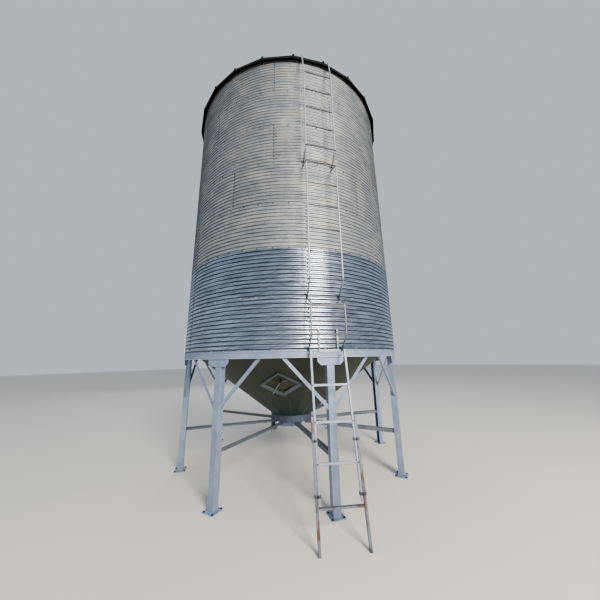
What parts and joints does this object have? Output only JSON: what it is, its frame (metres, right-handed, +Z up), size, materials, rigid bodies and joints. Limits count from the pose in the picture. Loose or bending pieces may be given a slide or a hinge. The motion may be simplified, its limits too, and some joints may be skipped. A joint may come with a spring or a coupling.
{
  "type": "hopper-bottom grain silo",
  "caption": "Corrugated steel grain silo on a hopper with welded legs, knee braces, a hinged hatch, a ribbed conical roof and a fixed ladder.",
  "frame": {"origin": "on the ground, on the silo's vertical axis", "axes": "+Z up along the silo's axis, -Y towards the hopper's hatch (the picture's side), +X to the right of someone facing the hatch"},
  "size_m": [4.7382, 5.1246, 9.1765],
  "materials": {
    "new_galvanised_sheet": "bright zinc with faint spangle",
    "aged_galvanised_sheet": "dull mottled zinc with pale bloom and dirt",
    "roof_galvanised_sheet": "weathered zinc",
    "dull_hopper_plate": "dull olive-grey coated plate",
    "blue_grey_steelwork": "pale blue-grey coated structural steel",
    "galvanised_ladder_steel": "galvanised tube, dulled",
    "rusty_ladder_steel": "chalky galvanising worn through to rust"
  },
  "bodies": {
    "silo": {"wall_ring_1": "new_galvanised_sheet", "wall_ring_2": "new_galvanised_sheet", "wall_ring_3": "aged_galvanised_sheet", "wall_ring_4": "aged_galvanised_sheet", "wall_ring_5": "aged_galvanised_sheet", "wall_ring_6": "aged_galvanised_sheet", "wall_ring_7": "aged_galvanised_sheet", "ring_beam": "blue_grey_steelwork", "leg_1": "blue_grey_steelwork", "leg_2": "blue_grey_steelwork", "leg_3": "blue_grey_steelwork", "leg_4": "blue_grey_steelwork", "leg_5": "blue_grey_steelwork", "leg_6": "blue_grey_steelwork", "leg_7": "blue_grey_steelwork", "leg_8": "blue_grey_steelwork", "tie_strut_1": "blue_grey_steelwork", "tie_strut_2": "blue_grey_steelwork", "tie_strut_3": "blue_grey_steelwork", "tie_strut_4": "blue_grey_steelwork", "tie_strut_5": "blue_grey_steelwork", "tie_strut_6": "blue_grey_steelwork", "tie_strut_7": "blue_grey_steelwork", "tie_strut_8": "blue_grey_steelwork", "hopper_sheet_1": "dull_hopper_plate", "hopper_sheet_2": "dull_hopper_plate", "hopper_sheet_3": "dull_hopper_plate", "hopper_sheet_4": "dull_hopper_plate", "hopper_sheet_5": "dull_hopper_plate", "hopper_sheet_6": "dull_hopper_plate", "hopper_sheet_7": "dull_hopper_plate", "hopper_sheet_8": "dull_hopper_plate", "hopper_collar": "blue_grey_steelwork", "discharge_spout": "blue_grey_steelwork", "slide_gate": "blue_grey_steelwork", "hatch_frame": "dull_hopper_plate", "roof_panels": "roof_galvanised_sheet", "roof_collar": "roof_galvanised_sheet", "roof_lid": "roof_galvanised_sheet", "wall_ladder_low": "galvanised_ladder_steel", "wall_ladder_middle": "galvanised_ladder_steel", "wall_ladder_top": "galvanised_ladder_steel", "base_ladder": "galvanised_ladder_steel", "ladder_extension": "rusty_ladder_steel", "ladder_bracket": "galvanised_ladder_steel"},
    "hatch": {"hatch_door": "dull_hopper_plate", "hatch_bar": "dull_hopper_plate"}
  },
  "joints": [
    {"name": "hatch_hinge", "type": "hinge", "parent": "silo", "child": "hatch", "pos_m": [0.14001, -1.48941, 1.67473], "axis": [-0.7071, -0.5647, 0.4255], "range_deg": [0, 90]}
  ]
}
